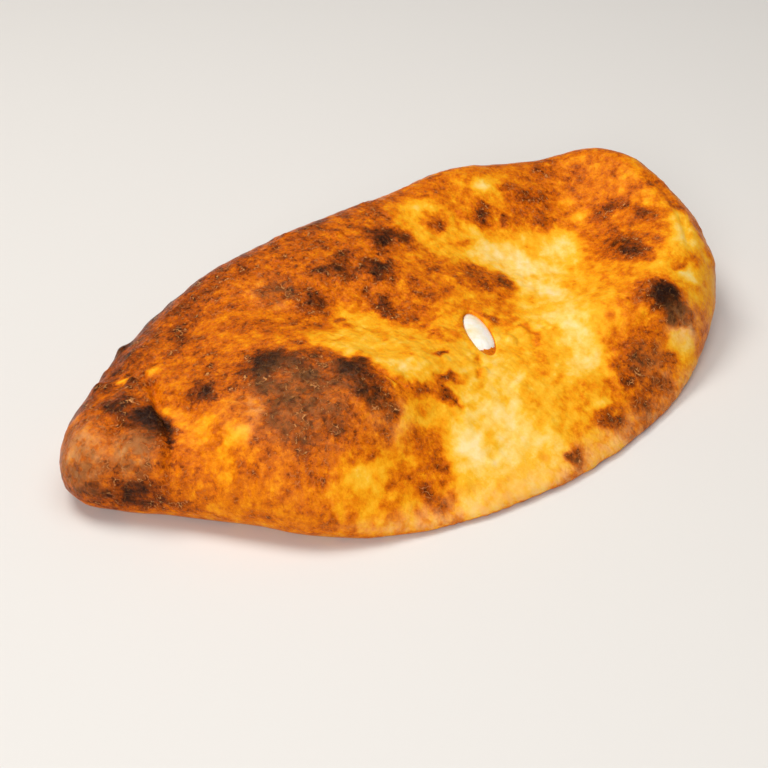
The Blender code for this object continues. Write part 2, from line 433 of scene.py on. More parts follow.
def ventPlace(co):
    # polar angle in the vent, and reach with 1 on its rim
    turn = math.radians(ventSpot[4])
    dx, dy = co.x / mm - ventSpot[0], co.y / mm - ventSpot[1]
    u = (dx * math.cos(turn) + dy * math.sin(turn)) / ventSpot[2]
    w = (dy * math.cos(turn) - dx * math.sin(turn)) / ventSpot[3]
    return math.atan2(w, u), math.hypot(u, w)


def filmDistance(angle, reach):
    # mm from the slanted line through the vent's middle that the torn film's edge follows
    return reach * (np.cos(angle) * ventSpot[2] + 0.5 * np.sin(angle) * ventSpot[3])


def ventPoint(angle, reach):
    turn = math.radians(ventSpot[4])
    u, w = math.cos(angle) * reach * ventSpot[2], math.sin(angle) * reach * ventSpot[3]
    return (Vector((ventSpot[0], ventSpot[1], 0.0))
            + Vector((u * math.cos(turn) - w * math.sin(turn),
                      u * math.sin(turn) + w * math.cos(turn), 0.0))) * mm


def ventPlane(tree, s):
    # the crust's top round the vent: height (mm) at its middle and slopes along and across
    rows, heights = [], []
    reach = s["planeReach"]
    for k in range(s["planeRays"]):
        angle = math.tau * k / s["planeRays"]
        p = ventPoint(angle, reach)
        hit = tree.ray_cast(Vector((p.x, p.y, rayStart)), Vector((0, 0, -1)))[0]
        rows.append((1.0, math.cos(angle) * reach, math.sin(angle) * reach))
        heights.append(hit.z / mm)
    return np.linalg.lstsq(np.array(rows), np.array(heights), rcond=None)[0]


def planeHeight(plane, angle, reach):
    return plane[0] + reach * (plane[1] * math.cos(angle) + plane[2] * math.sin(angle))


def widenPlug(bm, s, plane, low, high, wanted):
    # moves the points from reach low to high, near the crust's top, out to one oval
    for v in bm.verts:
        angle, reach = ventPlace(v.co)
        if low < reach < high and v.co.z > (
                planeHeight(plane, angle, reach) - s["plugDepth"]) * mm:
            v.co.xy = ventPoint(angle, wanted).xy


def buildCheese(s, plane):
    # the filling's own form, with the part that stands in the vent filled out and domed
    bm = copyMesh(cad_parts["cheese_filling"])
    bm.normal_update()
    lidFaces = []
    for f in bm.faces:
        centre = f.calc_center_median()
        angle, reach = ventPlace(centre)
        if reach < 1.0 and f.normal.z > 0.8 and centre.z > (
                planeHeight(plane, angle, reach) - s["lidDepth"]) * mm:
            lidFaces.append(f)
    bmesh.ops.delete(bm, geom=lidFaces, context="FACES")
    loop = [e for e in bm.edges if e.is_boundary]
    bmesh.ops.subdivide_edges(bm, edges=loop, cuts=1)
    loop = [e for e in bm.edges if e.is_boundary]
    outermost, *inward = s["reach"]
    widenPlug(bm, s, plane, 0.8, 1.05, outermost)
    # rings of faces from the opened rim to its middle; lid holds each point's reach
    lid = {v: outermost for e in loop for v in e.verts}
    for wanted in inward:
        grown = bmesh.ops.extrude_edge_only(bm, edges=loop)["geom"]
        loop = [g for g in grown if isinstance(g, bmesh.types.BMEdge) and g.is_boundary]
        lid.update({g: wanted for g in grown if isinstance(g, bmesh.types.BMVert)})
    bmesh.ops.contextual_create(bm, geom=loop)
    for v, wanted in lid.items():
        angle = ventPlace(v.co)[0]
        hidden = smoothStep(s["film"] + s["filmSlope"], s["film"], filmDistance(angle, wanted))
        height = (planeHeight(plane, angle, wanted) - s["below"]
                  - s["tilt"] * wanted * math.cos(angle)
                  + s["rise"] * (1 - wanted ** 2) - s["filmGap"] * hidden)
        v.co = ventPoint(angle, wanted)
        v.co.z = height * mm
    bmesh.ops.recalc_face_normals(bm, faces=bm.faces[:])
    return bm, lid


def dropCrumbs(bm):
    # keeps only the largest connected part
    parts, seen = [], set()
    for first in bm.verts:
        if first in seen:
            continue
        seen.add(first)
        part, waiting = [], [first]
        while waiting:
            v = waiting.pop()
            part.append(v)
            for e in v.link_edges:
                other = e.other_vert(v)
                if other not in seen:
                    seen.add(other)
                    waiting.append(other)
        parts.append(part)
    parts.sort(key=len)
    for part in parts[:-1]:
        bmesh.ops.delete(bm, geom=part, context="VERTS")
    openEdges = sum(len(e.link_faces) != 2 for e in bm.edges)
    print("crust shell", len(parts) - 1, "crumbs dropped,", openEdges, "open edges")


def hollowCrust(ball, filling, lid, s, plane):
    # takes the cavity and the open vent out of the crust, with a slightly larger filling
    cutter = filling.copy()
    cutter.verts.ensure_lookup_table()
    cutter.normal_update()
    moved = [v.co + v.normal * s["cavityGap"] * mm for v in cutter.verts]
    for v, co in zip(cutter.verts, moved):
        v.co = co
    for v in lid:
        end = cutter.verts[v.index]
        bare = smoothStep(s["film"], s["film"] + s["filmEdge"],
                          filmDistance(*ventPlace(end.co)))
        end.co.z += s["cutHeight"] * mm * bare
    widenPlug(cutter, s, plane, 1.0, 1.2, s["hole"])
    objects = []
    for name, mesh in (("ball", ball), ("cutter", cutter)):
        data = bpy.data.meshes.new(name)
        mesh.to_mesh(data)
        ob = bpy.data.objects.new(name, data)
        bpy.context.scene.collection.objects.link(ob)
        objects.append(ob)
    modifier = objects[0].modifiers.new("cavity", "BOOLEAN")
    modifier.operation, modifier.solver, modifier.object = "DIFFERENCE", "MANIFOLD", objects[1]
    graph = bpy.context.evaluated_depsgraph_get()
    shell = bmesh.new()
    shell.from_mesh(objects[0].evaluated_get(graph).data)
    bmesh.ops.remove_doubles(shell, verts=shell.verts, dist=s["weld"] * mm)
    # a point between only two faces would fold when they are triangulated
    loose = [v for v in shell.verts if len(v.link_edges) == 2]
    bmesh.ops.dissolve_verts(shell, verts=loose)
    dropCrumbs(shell)
    tree = BVHTree.FromBMesh(cutter)
    cutter.free()
    for ob in objects:
        data = ob.data
        bpy.data.objects.remove(ob)
        bpy.data.meshes.remove(data)
    inner = np.array([tree.find_nearest(v.co)[3] < s["touch"] * mm for v in shell.verts])
    return shell, inner


ventLevel = ventPlane(BVHTree.FromBMesh(crustBall), cheeseSettings)
cheeseBody, cheeseLid = buildCheese(cheeseSettings, ventLevel)
cheeseBody.verts.index_update()
crustShell, innerWall = hollowCrust(crustBall, cheeseBody, cheeseLid, cheeseSettings, ventLevel)
print("vent lid", len(cheeseLid), "points")
crustBall.free()
print("crust hollowed", len(crustShell.verts), "points", int(innerWall.sum()), "inside")

# how brown the dough is, from 0 cream to 1 black. Broad regions: x, y, reach (mm), tone
toneRegions = (
    (-60, 30, 22, 0.58), (-85, 35, 18, 0.57), (-30, 40, 20, 0.60), (0, 46, 16, 0.58),
    (-75, 5, 18, 0.58), (-92, 12, 12, 0.52), (-75, -25, 18, 0.66), (-66, -56, 14, 0.40),
    (-42, -12, 10, 0.28), (-30, -2, 9, 0.34), (-22, -22, 11, 0.33), (-8, 10, 13, 0.58),
    (12, 18, 10, 0.52), (24, 32, 11, 0.34), (40, 52, 12, 0.52), (65, 50, 10, 0.46),
    (55, 33, 10, 0.42), (85, 36, 12, 0.53), (100, 15, 13, 0.52), (108, 27, 8, 0.46),
    (111, 0, 10, 0.54), (90, -8, 12, 0.56), (72, -22, 11, 0.48), (62, -10, 9, 0.32),
    (50, 15, 10, 0.15), (72, 10, 8, 0.22), (80, -30, 10, 0.30), (40, -14, 6, 0.26),
    (48, -8, 9, 0.17), (40, -28, 9, 0.18),
    (56, -30, 10, 0.32), (32, -46, 10, 0.24), (14, -34, 10, 0.32), (-4, -40, 10, 0.24),
    (-14, -58, 12, 0.20), (12, -57, 12, 0.33), (-33, -56, 9, 0.22), (48, -56, 12, 0.58),
    (22, -66, 10, 0.48), (70, -56, 9, 0.44), (95, -33, 9, 0.38), (-118, 12, 12, 0.62),
    (-135, 10, 10, 0.58), (20, -8, 9, 0.46), (30, 4, 8, 0.58), (-98, -18, 9, 0.48),
    (-52, -63, 9, 0.52), (-4, -10, 9, 0.42), (-38, -47, 10, 0.42), (110, 38, 12, 0.54),
    (100, 52, 14, 0.58), (130, 20, 14, 0.56), (125, -20, 12, 0.50), (60, 66, 16, 0.62),
    (0, 68, 20, 0.66), (-60, 60, 20, 0.66), (-105, 45, 16, 0.66), (-100, -45, 14, 0.50),
)
# patches over them, in order: x, y, half-sizes (mm), turn (degrees), tone, softness of the rim
toneSpots = (
    # the broad brown patch on the front swell
    (-73, -21, 19, 16, -15, 0.77, 0.9), (-57, -36, 10, 9, -30, 0.77, 0.9),
    (-67, -37, 7, 7, 0, 0.60, 0.9), (-82, -34, 5, 4, 0, 0.62, 0.9),
    (-73.5, -4, 9, 7.5, 0, 0.82, 0.9), (-73, -4, 6, 5.5, 0, 0.95, 0.8),
    (-66.5, -12, 5, 5, 0, 0.79, 0.9), (-52, -26, 8, 7, -30, 0.80, 0.8),
    (-51.5, -24.5, 6, 4, -30, 0.96, 0.7), (-54, -39, 6, 5, 0, 0.78, 0.9),
    # the tucked corner
    (-113.5, 3, 5, 9.0, 12, 0.82, 0.9), (-113.5, 2, 3.2, 7.0, 12, 0.98, 0.7),
    (-117, 16.5, 6, 6, 0, 0.72, 0.9), (-117, 16.5, 3.5, 3.5, 0, 0.82, 0.8),
    (-106, 27, 3, 3, 0, 0.76, 0.9), (-95, 2, 7, 7, 0, 0.70, 0.9),
    (-95, 2, 4.5, 5, 0, 0.84, 0.8), (-87, 12, 5, 3, 30, 0.68, 0.9),
    # the back
    (7.5, 33.5, 11, 9, -20, 0.72, 0.9), (7.5, 34.5, 6.5, 5.5, -10, 0.84, 0.8),
    (14, 30, 4, 3, 0, 0.80, 0.8), (-20, 28, 9, 7, 0, 0.70, 0.9),
    (-21.5, 27.5, 5, 3.2, 0, 0.84, 0.8), (-13, 31, 4, 3, 0, 0.76, 0.8),
    (-7.8, 18.5, 9, 6, 0, 0.68, 0.9), (-7.5, 18.5, 6, 4, 0, 0.80, 0.8),
    (-37.7, 19.5, 7, 7, 0, 0.70, 0.9), (-37.5, 19, 4, 5, 0, 0.80, 0.8),
    (-45, 30, 8, 4, -30, 0.68, 0.9), (-15.5, 5, 4.5, 4, 20, 0.74, 0.8),
    (-6.5, -1, 11, 3, 14, 0.68, 0.9), (-10, -8, 8, 2.5, 20, 0.54, 0.9),
    (17, 11, 5, 3, 0, 0.68, 0.9), (-36, 4, 3, 2.5, 0, 0.66, 0.7),
    (29, 3, 10, 6, -8, 0.62, 0.9), (33, 1, 5, 3, 0, 0.70, 0.9),
    (32, 35, 6, 3, 0, 0.60, 0.9), (55, 36, 6, 4, 20, 0.70, 0.9),
    (56, 36, 3, 2.2, 20, 0.80, 0.7), (63.5, 29, 4, 3, 0, 0.72, 0.9),
    (78, 24.3, 4, 2.5, 0, 0.72, 0.9), (64.5, 16, 5, 2.6, 0, 0.36, 0.9),
    (37, 24, 5, 2.5, 0, 0.54, 0.9), (73, 42, 5, 1.5, 0, 0.66, 0.9),
    (82, 35.5, 9, 5, 0, 0.66, 0.9), (97.5, 12.5, 6, 5, -30, 0.72, 0.9),
    (104.5, -3, 4, 6, -10, 0.74, 0.9), (87, -14, 8, 8, 0, 0.66, 0.9),
    (87, -12, 4, 5, 0, 0.82, 0.8), (86, -19, 4, 4, 0, 0.72, 0.9),
    # the broad end's front and the front edge
    (68, -38, 9, 6, -10, 0.60, 0.9), (76.4, -44, 10, 8.5, -10, 0.80, 0.7),
    (76.4, -44, 7.5, 6, -10, 0.97, 0.6), (92, -35.5, 4, 1.6, 0, 0.60, 0.9),
    (52.5, -37.5, 2.5, 1.4, 0, 0.44, 0.8), (42.7, -32, 2.5, 1.6, 0, 0.38, 0.8),
    (50, -57, 15, 8, 20, 0.64, 0.9), (54, -53, 8, 4, 8, 0.72, 0.9),
    (45.5, -64.5, 5, 3, 10, 0.70, 0.9), (63, -57, 5, 3, 0, 0.66, 0.9),
    (26, -66.5, 6, 4, 15, 0.72, 0.8), (3, -73, 5, 3.2, 0, 0.74, 0.8),
    (22, -56, 10, 2, 0, 0.42, 0.9), (-23.5, -56, 2.2, 4, 10, 0.54, 0.8),
    (20, -40, 3, 9, -10, 0.42, 0.9), (24, -30, 3, 8, 0, 0.44, 0.9),
    (16, -15.5, 2.4, 3.2, 0, 0.66, 0.8), (-16.5, -26, 4, 1.5, 10, 0.60, 0.8),
    (-5, -34, 6, 3, 50, 0.46, 0.9), (-22, -37.5, 4.5, 2.6, 0, 0.70, 0.7),
    (-29, -44, 5, 3.4, -45, 0.72, 0.8), (-35, -39, 12, 3, -5, 0.56, 0.9),
    (-52, -64.5, 4, 4, 0, 0.70, 0.9), (-44, -62, 4, 3.4, 0, 0.68, 0.9),
    (-60, -58, 5, 3, 0, 0.58, 0.9), (-46, -54, 7, 5, 0, 0.54, 0.9),
    (-84, -46, 6, 5, 0, 0.66, 0.9),
    # pale places
    (64.7, 44.5, 8, 5, 0, 0.36, 0.9), (64.7, 44.3, 4.5, 2.8, 0, 0.10, 0.9),
    (33, 44.3, 8, 4, 0, 0.26, 0.9), (46.5, 31, 3, 6, 10, 0.20, 0.9),
    (90, 19.7, 5, 3, 0, 0.34, 0.9), (52, 13, 8, 7, 0, 0.09, 0.9),
    (75, 11, 6, 5, 0, 0.12, 0.9), (61, 2, 6, 5, 45, 0.08, 0.9),
    (50, -10, 5, 8, 20, 0.10, 0.9), (39, -36, 6, 11, -20, 0.12, 0.9),
    (33, -46, 7, 5, 0, 0.14, 0.9), (90.7, -39.8, 6, 2.4, 0, 0.10, 0.8),
    (73, -54.7, 5.5, 2.8, 10, 0.18, 0.9), (107, -21, 5, 10, -25, 0.16, 0.9),
    (111, -17, 3, 7, -10, 0.12, 0.8), (-36, -29.5, 8, 5, -8, 0.16, 0.8),
    (-47, -15.5, 6, 4, 20, 0.20, 0.9), (-30, -57, 9, 7, 0, 0.06, 0.9),
    (-34, -68, 12, 5, 10, 0.20, 0.9), (-16, -64, 10, 5, 0, 0.13, 0.9),
    (-12, -53, 10, 6, 20, 0.10, 0.9), (0, -34, 8, 4.5, 35, 0.18, 0.9),
    (-1, -43, 9, 4, 15, 0.16, 0.9), (10, -27, 5, 6, 20, 0.20, 0.9),
    (24, -47, 6, 3, 0, 0.18, 0.9), (-71, -53, 8, 3, 0, 0.24, 0.9),
    (-50, -46, 7, 2.5, 10, 0.36, 0.9), (-41, -47, 7, 2.5, 10, 0.32, 0.9),
    (-97.5, -20.5, 4, 5, 20, 0.36, 0.9), (-101.5, 25, 2.6, 4.5, 10, 0.30, 0.9),
    (-107, 30.5, 4.5, 1.8, -10, 0.26, 0.9), (-105, 4, 2.6, 10, 8, 0.38, 0.9),
    (-106, -8, 3, 7, 25, 0.42, 0.9), (-45.5, -35.8, 2, 1.2, -30, 0.24, 0.7),
)
# round patches, which reach down the steep sides too: x, y, z, half-size (mm), tone
toneLumps = (
    # the first, second and fourth darken the tucked corner's rounded underside: darker brown,
    # partly painted shadow
    (-131, 0, 5, 11.0, 0.76), (-125, -8, 10, 8.0, 0.84), (-139, 11, 14, 5.5, 0.74),
    (-136, 3, 11, 4.5, 0.84), (-100, 47, 29, 13.0, 0.74), (-120, 33, 22, 10.0, 0.70),
    (-75, 54, 33, 12.0, 0.70), (-45, 56, 40, 10.0, 0.68), (82, -24, 33, 5.0, 0.54),
    (-18, 52, 46, 13.0, 0.64), (-62, -45, 27, 7.0, 0.62), (-86, 28, 35, 7.0, 0.64),
    (-70, -37, 31, 8.0, 0.76), (102, -27, 36, 5.0, 0.14), (-140, 16, 12, 8.0, 0.66),
    # the third here, at (-124, -1, 25), is a painted highlight on the tucked corner's second lobe
    (-134, 22, 17, 9.0, 0.60), (-127, 3, 24, 3.5, 0.52), (-124, -1, 25, 4.5, 0.60),
    (-114, -14, 10, 8.0, 0.62), (-114, 4, 28, 6.5, 0.93),
    (-114, -3, 25, 5.5, 0.92), (-121, -1, 25, 4.5, 0.72),
    (-80, 42, 33, 14.0, 0.68), (-95, 50, 27, 5.0, 0.78), (-114, 34, 26, 5.0, 0.76),
    (114, 20, 44, 9.0, 0.46), (15, -73, 5, 9.0, 0.34), (-38, -72, 5, 8.0, 0.22),
    (39, -42, 22, 5.0, 0.24), (32, -31, 25, 4.0, 0.30), (86, 46, 41, 7.0, 0.52),
    (111, -2, 40, 7.0, 0.46), (-71, 25, 37, 8.0, 0.52), (-90, -18, 34, 6.0, 0.56),
    (-47, -60, 13, 5.0, 0.58), (26, -61, 13, 4.0, 0.28), (-61, -48, 27, 5.0, 0.56),
)
toneSettings = {
    "ground": (0.58, 0.003),                              # tone outside the regions, its weight
    "warpSizes": ((14.0, 3.0), (5.0, 2.2), (2.2, 1.0)),   # noise size and push, mm
    "mottleSizes": ((8.0, 0.10), (3.2, 0.08)),            # noise size (mm), change of tone
    "streaks": 0.10,                                      # change of tone along the folds
    "streakSize": (9.0, 2.4),                             # length and width (mm)
    "streakTurns": (20.0, 52.0),                          # degrees, at the narrow and broad end
    "creaseShade": 0.16,                                       # creases are made this much browner: painted shade
    "cut": 0.40,                                          # cut dough round the open vent
    "inside": 0.16,                                       # and under the crust
    "film": 0.52,                                         # torn film over the vent's front end
    "cutLevel": 20.0,                                     # the vent is above this height (mm)
}


def streakField(x, y, turn, length, width, seed):
    # noise drawn out along one direction, sizes in mm
    c, s = math.cos(math.radians(turn)), math.sin(math.radians(turn))
    along, across = (x * c + y * s) / length, (-x * s + y * c) / width
    drawn = np.stack([along, across, np.zeros(len(x))], axis=1)
    return noiseField(drawn, 1.0, seed, 3)


def crustTone(points, normals, s):
    x, y, z = (points / mm).T
    wx, wy = x.copy(), y.copy()
    for k, (size, push) in enumerate(s["warpSizes"]):
        wx += noiseField(points, size * mm, 20 + k) * push
        wy += noiseField(points, size * mm, 30 + k) * push
    groundTone, groundWeight = s["ground"]
    total = np.full(len(x), groundTone * groundWeight)
    weight = np.full(len(x), groundWeight)
    for cx, cy, reach, tone in toneRegions:
        w = np.exp(-((wx - cx) ** 2 + (wy - cy) ** 2) / (reach * 0.8) ** 2)
        total += w * tone
        weight += w
    tone = total / weight
    for *spot, level, soft in toneSpots:
        q = ellipseDistance(wx, wy, spot)
        tone += (level - tone) * smoothStep(1.0 + soft * 0.6, 1.0 - soft, q)
    for *spot, level in toneLumps:
        tone += (level - tone) * np.exp(-0.9 * ballDistance(wx, wy, z, spot) ** 2)
    # the dough is drawn out towards the broad end, more steeply there
    far = smoothStep(15.0, 45.0, x)
    narrow, broad = s["streakTurns"]
    streaks = (streakField(x, y, narrow, *s["streakSize"], 71) * (1.0 - far)
               + streakField(x, y, broad, *s["streakSize"], 72) * far)
    pale = smoothStep(0.62, 0.40, tone)
    tone += s["streaks"] * streaks * pale
    # painted shade: creases are made browner than the dough beside them
    for path, depth, width, _ in reliefLines:
        d, along = pathDistance(wx, wy, path)
        groove = np.exp(-(d / (1.2 * width)) ** 2)
        tone += s["creaseShade"] * depth ** 0.5 * fadeEnds(along) * groove * pale
    # the underside is baked evenly, with darker spots
    under = smoothStep(-0.1, -0.6, normals[:, 2])
    floorTone = 0.52 + 0.14 * noiseField(points, 16 * mm, 41, 2)
    tone += (floorTone - tone) * under
    # the folded back darkens towards the bottom
    back = smoothStep(40.0, 62.0, y) * smoothStep(48.0, 20.0, z) * (1.0 - under)
    tone += 0.10 * back
    for k, (size, change) in enumerate(s["mottleSizes"]):
        tone += noiseField(points, size * mm, 50 + k, 2) * change * (0.5 + tone)
    return tone


# dry, tan places, and a painted sheen with a highlight on the tucked corner: x, y, z, half-size
# (mm), strength from 0 to 1
dryAndSheenPlaces = (
    (76.5, -46, 16, 9.0, 0.90), (-21, 28, 36, 6.0, 0.30), (-75, -24, 34, 18.0, 0.34),
    # (-136, 11, 20) and (-132, 18, 22) are painted sheen on the tucked corner, (-124, -2, 24) a
    # painted highlight on its second lobe
    (-55, -40, 26, 9.0, 0.28), (-136, 11, 20, 10.0, 0.70), (-124, -2, 24, 7.0, 0.90),
    (-132, 18, 22, 8.0, 0.40), (-45, 30, 38, 8.0, 0.25), (105, -3, 30, 6.0, 0.30),
    (55, -56, 12, 9.0, 0.25),
)


# tan bloom: dry skin and flour, and a painted sheen on the tucked corner
def crustDryAndSheen(points, normals):
    x, y, z = (points / mm).T
    dryAndSheen = np.zeros(len(x))
    for *spot, share in dryAndSheenPlaces:
        dryAndSheen = np.maximum(dryAndSheen, share * np.exp(-0.8 * ballDistance(x, y, z, spot) ** 2))
    # flour along the thin front edge
    edge = smoothStep(11.0, 2.0, z) * smoothStep(-0.35, 0.1, normals[:, 2])
    dryAndSheen = np.maximum(dryAndSheen, 0.45 * edge * smoothStep(0.0, -40.0, y))
    grain = noiseField(points, 2.4 * mm, 61, 2)
    return np.clip(dryAndSheen * (1.0 + 0.7 * grain), 0.0, 1.0)


def finishMesh(bm, name, material, attributes):
    mesh = bpy.data.meshes.new(name)
    bm.to_mesh(mesh)
    for key, values in attributes.items():
        layer = mesh.attributes.new(key, "FLOAT", "POINT")
        layer.data.foreach_set("value", np.asarray(values, dtype=np.float32))
    mesh.shade_smooth()
    mesh.materials.append(material)
    ob = bpy.data.objects.new(name, mesh)
    bpy.context.scene.collection.objects.link(ob)
    return ob


def newMaterial(name):
    # an empty material, its nodes and the object's own coordinates
    mat = bpy.data.materials.new(name)
    mat.use_nodes = True
    tree = mat.node_tree
    tree.nodes.clear()
    return mat, tree, addNode(tree, "ShaderNodeTexCoord").outputs["Object"]


def bakedDough():
    # wheat dough baked in a hot oven: pale where it sank, blistered brown where it rose
    mat, tree, place = newMaterial("baked wheat dough")
    tone = addNode(tree, "ShaderNodeAttribute", {"attribute_name": "tone"}).outputs["Fac"]
    # tan bloom of dry skin and flour, with painted sheen on the tucked corner
    dryAndSheen = addNode(tree, "ShaderNodeAttribute", {"attribute_name": "dryAndSheen"}).outputs["Fac"]
    # marbling, from 4 mm down to about 0.1 mm across, stronger where it is browner
    marble = addNode(tree, "ShaderNodeTexNoise", links={"Vector": place},
                     values={"Scale": 1 / (4 * mm), "Detail": 5.0, "Roughness": 0.76,
                             "Distortion": 0.15})
    swing = addNode(tree, "ShaderNodeMapRange", links={"Value": tone},
                    values={"From Min": 0.1, "From Max": 0.6, "To Min": 0.30, "To Max": 0.85})
    swing = swing.outputs["Result"]
    centred = addNode(tree, "ShaderNodeMath", {"operation": "SUBTRACT"},
                      {0: marble.outputs["Fac"]}, {1: 0.5})
    mottle = addNode(tree, "ShaderNodeMath", {"operation": "MULTIPLY"},
                     {0: centred.outputs[0], 1: swing})
    mottled = addNode(tree, "ShaderNodeMath", {"operation": "ADD"},
                      {0: tone, 1: mottle.outputs[0]})
    browned = addNode(tree, "ShaderNodeMapRange", links={"Value": tone},
                      values={"From Min": 0.42, "From Max": 0.62, "To Min": 0.0, "To Max": 1.0})
    # scorched specks about 1 mm across
    specks = addNode(tree, "ShaderNodeTexNoise", links={"Vector": place},
                     values={"Scale": 1 / (1.5 * mm), "Detail": 2.0, "Roughness": 0.6})
    speckShare = addNode(tree, "ShaderNodeMapRange", links={"Value": specks.outputs["Fac"]},
                         values={"From Min": 0.55, "From Max": 0.62, "To Min": 0.0,
                                 "To Max": 0.10})
    level = addNode(tree, "ShaderNodeMath", {"operation": "MULTIPLY_ADD", "use_clamp": True},
                    {0: speckShare.outputs["Result"], 1: browned.outputs["Result"],
                     2: mottled.outputs[0]}).outputs[0]
    ramp = addNode(tree, "ShaderNodeValToRGB", links={"Fac": level})
    stops = ((0.02, "fde0a0"), (0.13, "fcd068"), (0.24, "fabb2c"), (0.36, "f5a412"),
             (0.47, "e68105"), (0.58, "cb6202"), (0.68, "9e4602"), (0.78, "6e2f04"),
             (0.88, "451e05"), (1.00, "261006"))
    band = ramp.color_ramp
    while len(band.elements) < len(stops):
        band.elements.new(0.5)
    for element, (at, colour) in zip(band.elements, stops):
        element.position = at
        element.color = linearColour(colour)
    # pale curls under 1 mm wide on the browned skin: painted glints off its glossy wrinkles,
    # partly lighter flecks of skin
    flecks = addNode(tree, "ShaderNodeTexNoise", links={"Vector": place},
                     values={"Scale": 1 / (2.6 * mm), "Detail": 1.5, "Roughness": 0.6,
                             "Distortion": 0.4})
    offset = addNode(tree, "ShaderNodeMath", {"operation": "SUBTRACT"},
                     {0: flecks.outputs["Fac"]}, {1: 0.5})
    curl = addNode(tree, "ShaderNodeMapRange", links={
        "Value": addNode(tree, "ShaderNodeMath", {"operation": "ABSOLUTE"},
                         {0: offset.outputs[0]}).outputs[0]},
        values={"From Min": 0.008, "From Max": 0.03, "To Min": 1.0, "To Max": 0.0})
    broken = addNode(tree, "ShaderNodeMapRange", links={"Value": marble.outputs["Fac"]},
                     values={"From Min": 0.51, "From Max": 0.59, "To Min": 0.0, "To Max": 0.9})
    curlShare = addNode(tree, "ShaderNodeMath", {"operation": "MULTIPLY"},
                        {0: curl.outputs["Result"], 1: broken.outputs["Result"]})
    uncharred = addNode(tree, "ShaderNodeMapRange", links={"Value": tone},
                        values={"From Min": 0.70, "From Max": 0.84, "To Min": 1.0, "To Max": 0.15})
    glintZone = addNode(tree, "ShaderNodeMapRange", links={"Value": tone},
                     values={"From Min": 0.50, "From Max": 0.68, "To Min": 0.0, "To Max": 1.0})
    brownOnly = addNode(tree, "ShaderNodeMath", {"operation": "MULTIPLY"},
                        {0: glintZone.outputs["Result"], 1: uncharred.outputs["Result"]})
    glintFleckAmount = addNode(tree, "ShaderNodeMath", {"operation": "MULTIPLY"},
                          {0: curlShare.outputs[0], 1: brownOnly.outputs[0]})
    glintFlecked = addNode(tree, "ShaderNodeMix", {"data_type": "RGBA"},
                      {"Factor": glintFleckAmount.outputs[0], "A": ramp.outputs["Color"]},
                      {"B": linearColour("e6a05c")})
    # dry skin, flour and painted sheen: a tan bloom broken up by the same flecks
    dryAndSheenAmount = addNode(tree, "ShaderNodeMath", {"operation": "MULTIPLY"},
                        {0: dryAndSheen, 1: addNode(tree, "ShaderNodeMapRange",
                                            links={"Value": flecks.outputs["Fac"]},
                                            values={"From Min": 0.36, "From Max": 0.56,
                                                    "To Min": 0.30, "To Max": 1.0}
                                            ).outputs["Result"]})
    dryAndSheenColour = addNode(tree, "ShaderNodeMix", {"data_type": "RGBA"},
                        {"Factor": browned.outputs["Result"]},
                        {"A": linearColour("fbc684"), "B": linearColour("ad703c")})
    dryAndSheenMix = addNode(tree, "ShaderNodeMix", {"data_type": "RGBA"},
                     {"Factor": dryAndSheenAmount.outputs[0], "A": glintFlecked.outputs["Result"],
                      "B": dryAndSheenColour.outputs["Result"]})
    colour = dryAndSheenMix.outputs["Result"]
    # skin: fine wrinkles and pores 1 to 2 mm apart, stronger where it is browner
    skin = addNode(tree, "ShaderNodeTexNoise", links={"Vector": place},
                   values={"Scale": 1 / (1.8 * mm), "Detail": 4.0, "Roughness": 0.65,
                           "Distortion": 0.3})
    cells = addNode(tree, "ShaderNodeTexVoronoi", {"feature": "SMOOTH_F1"},
                    {"Vector": place}, {"Scale": 1 / (1.6 * mm), "Smoothness": 0.6})
    relief = addNode(tree, "ShaderNodeMath", {"operation": "MULTIPLY_ADD"},
                     {0: cells.outputs["Distance"], 2: skin.outputs["Fac"]}, {1: -0.5})
    relief = addNode(tree, "ShaderNodeMath", {"operation": "MULTIPLY_ADD"},
                     {0: glintFleckAmount.outputs[0], 2: relief.outputs[0]}, {1: 0.15})
    strength = addNode(tree, "ShaderNodeMapRange", links={"Value": tone},
                       values={"From Min": 0.15, "From Max": 0.65, "To Min": 0.15, "To Max": 1.0})
    bump = addNode(tree, "ShaderNodeBump", links={"Height": relief.outputs[0],
                   "Strength": strength.outputs["Result"]}, values={"Distance": 0.7 * mm})
    rough = addNode(tree, "ShaderNodeMapRange", links={"Value": tone},
                    values={"From Min": 0.2, "From Max": 0.8, "To Min": 0.44, "To Max": 0.28})
    shader = addNode(tree, "ShaderNodeBsdfPrincipled",
                     links={"Base Color": colour, "Roughness": rough.outputs["Result"],
                            "Normal": bump.outputs["Normal"]},
                     values={"IOR": 1.40, "Specular IOR Level": 0.12, "Subsurface Weight": 0.25,
                             "Subsurface Radius": (1.0, 0.4, 0.15),
                             "Subsurface Scale": 1.2 * mm})
    addNode(tree, "ShaderNodeOutputMaterial", links={"Surface": shader.outputs["BSDF"]})
    return mat


points, normals = meshArrays(crustShell)
tone = crustTone(points, normals, toneSettings)
ventReach = ellipseDistance(points[:, 0] / mm, points[:, 1] / mm, ventSpot)
upper = points[:, 2] > toneSettings["cutLevel"] * mm
ventWall = innerWall & (ventReach < 1.2) & upper
tone[innerWall] = toneSettings["inside"]
tone[ventWall] = toneSettings["cut"]
ventAngle = np.array([ventPlace(Vector(p))[0] for p in points])
filmPart = filmDistance(ventAngle, ventReach) < cheeseSettings["film"] + 0.8
film = (ventReach < 1.12) & filmPart & upper
tone[film] = toneSettings["film"]
# tone holds painted shade in the creases and under the tucked corner; dry holds painted sheen on
# that corner
crust = finishMesh(crustShell, "bakedCrust", bakedDough(),
                   {"tone": tone, "dryAndSheen": crustDryAndSheen(points, normals) * ~innerWall})
crustShell.free()
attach(crust, "root")
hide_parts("crust")
print("crust done", len(crust.data.polygons), "faces")


